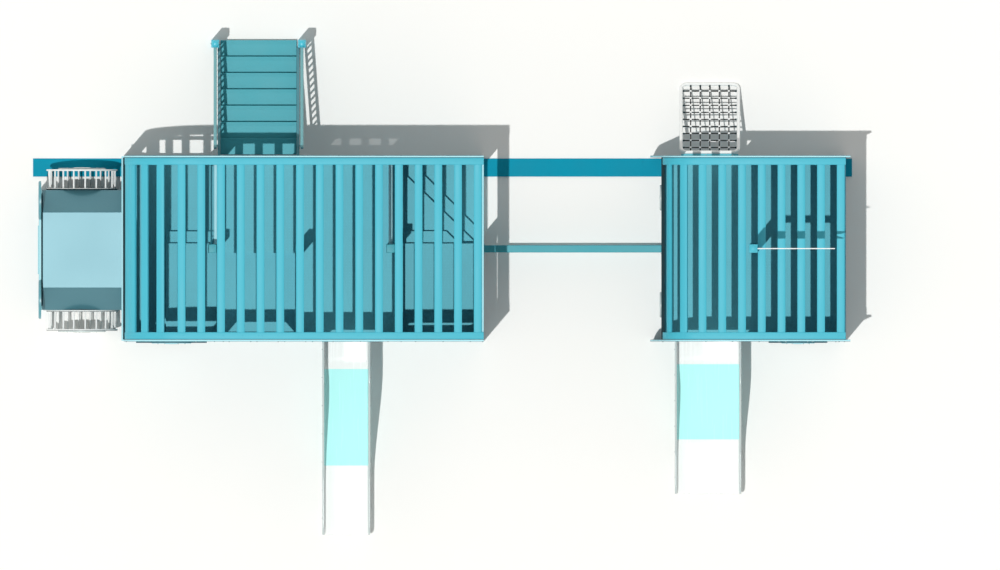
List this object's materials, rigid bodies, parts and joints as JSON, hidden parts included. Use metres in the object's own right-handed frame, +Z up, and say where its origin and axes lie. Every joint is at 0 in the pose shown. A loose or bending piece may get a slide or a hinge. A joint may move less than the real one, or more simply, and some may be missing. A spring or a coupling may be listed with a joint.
{
  "type": "playground slide unit",
  "caption": "Roofed playground unit on posts and panels with slides, a stair, a rope net climber, a slatted roof, a hood with barred wheels and a balance beam.",
  "frame": {"origin": "on the ground, at the centre of the whole unit's outline", "axes": "+Z up; X along the row of the two towers with the hood at -X; slides towards -Y"},
  "size_m": [12.285, 7.4285, 4.7],
  "materials": {
    "panel_teal": "satin, lightly textured sheet",
    "steel_teal": "satin powder coat",
    "steel_white": "satin powder coat",
    "hood_pale": "satin powder coat",
    "base_deep_teal": "satin powder coat",
    "slide_bed": "smooth moulded",
    "slide_side": "smooth moulded",
    "net_rope": "braided rope"
  },
  "bodies": {
    "root": {"left_front_wall": "panel_teal", "left_back_wall": "panel_teal", "left_dash_panel": "panel_teal", "left_end_panel": "panel_teal", "right_front_wall": "panel_teal", "right_back_wall": "panel_teal", "right_dash_panel": "panel_teal", "right_end_panel": "panel_teal", "left_wheel_disc": "panel_teal", "right_wheel_disc": "panel_teal", "main_deck": "steel_teal", "lower_deck": "steel_teal", "bay_divider": "steel_teal", "corner_steps": "steel_teal", "winding_steps": "steel_teal", "steps_side_panel": "steel_teal", "deck_post_left": "steel_teal", "deck_post_middle": "steel_teal", "deck_post_right": "steel_teal", "left_roof_slats": "steel_teal", "left_nose_slats": "steel_teal", "right_roof_slats": "steel_teal", "right_nose_slats": "steel_teal", "right_deck": "steel_teal", "mast": "steel_teal", "balance_beam": "steel_teal", "stair_stringer_left": "steel_teal", "stair_stringer_right": "steel_teal", "stair_tread_1": "steel_teal", "stair_tread_2": "steel_teal", "stair_tread_3": "steel_teal", "stair_tread_4": "steel_teal", "stair_tread_5": "steel_teal", "stair_tread_6": "steel_teal", "stair_tread_7": "steel_teal", "stair_balustrade_left": "steel_teal", "stair_balustrade_right": "steel_teal", "slide_1_foot": "steel_teal", "slide_2_foot": "steel_teal", "slide_1_guard_bar": "steel_teal", "deck_guard_left": "steel_white", "deck_guard_right": "steel_white", "hood_wheel_front": "steel_white", "hood_wheel_back": "steel_white", "net_frame": "steel_white", "hood_shell": "hood_pale", "hood_front_panel": "hood_pale", "hood_lamp_front": "hood_pale", "hood_lamp_back": "hood_pale", "right_lamp_front": "hood_pale", "right_lamp_back": "hood_pale", "flag": "hood_pale", "base_board": "base_deep_teal", "slide_1_bed": "slide_bed", "slide_2_bed": "slide_bed", "slide_1_side_left": "slide_side", "slide_1_side_right": "slide_side", "slide_2_side_left": "slide_side", "slide_2_side_right": "slide_side", "rope_net": "net_rope"}
  },
  "joints": []
}
